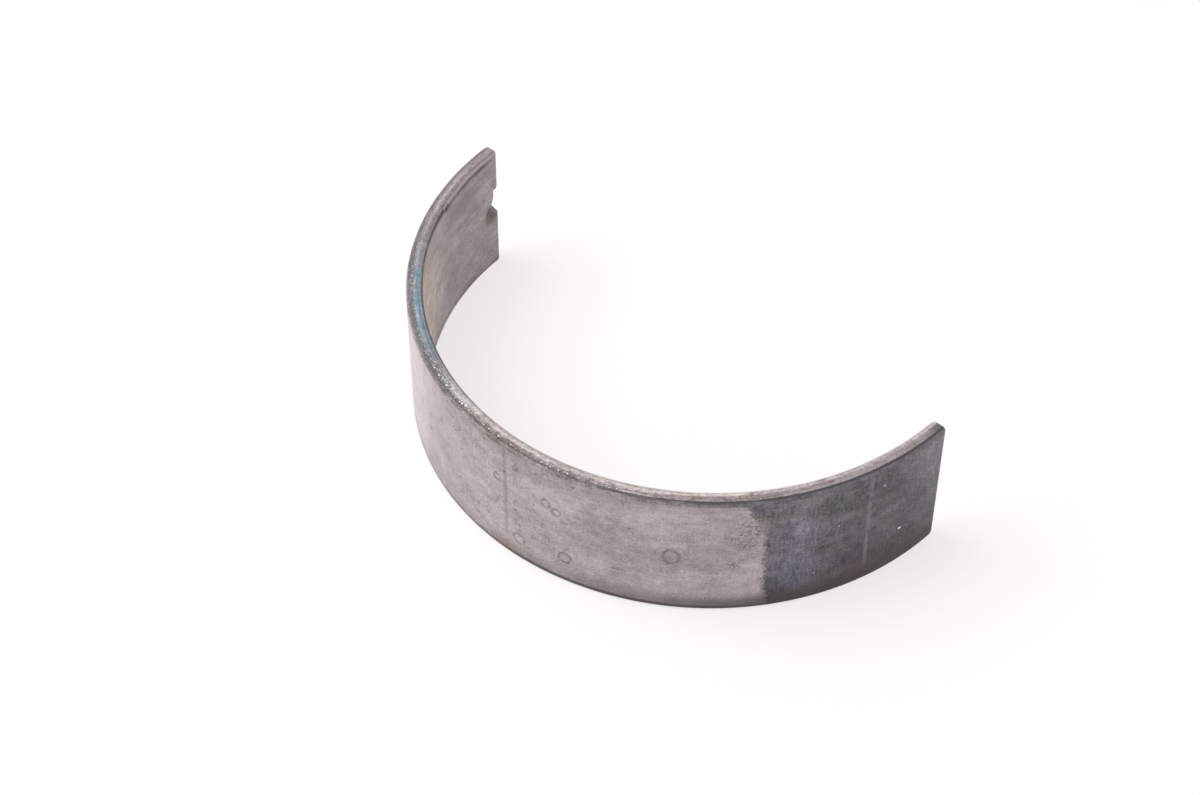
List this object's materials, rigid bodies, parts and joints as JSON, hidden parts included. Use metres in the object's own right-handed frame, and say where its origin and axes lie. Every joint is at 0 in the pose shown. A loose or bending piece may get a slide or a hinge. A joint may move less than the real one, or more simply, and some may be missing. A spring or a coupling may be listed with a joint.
{
  "type": "engine bearing shell",
  "caption": "Half-ring plain bearing shell for a connecting rod, steel strip with bonded lining, plain bore, locating lug pressed out at one parting face, standing on its side face.",
  "frame": {"origin": "middle of the footprint, on the plane that the lower side face rests on", "axes": "+Z is the bearing axis and points up, +X runs from the parting face with the lug to the plain one, +Y points out of the open side of the half ring, and the crown is toward -Y"},
  "size_m": [0.0542, 0.0264, 0.0137],
  "materials": {
    "lined_steel": "oil-darkened, dull satin"
  },
  "bodies": {
    "root": {"bearing_shell": "lined_steel"}
  },
  "joints": []
}
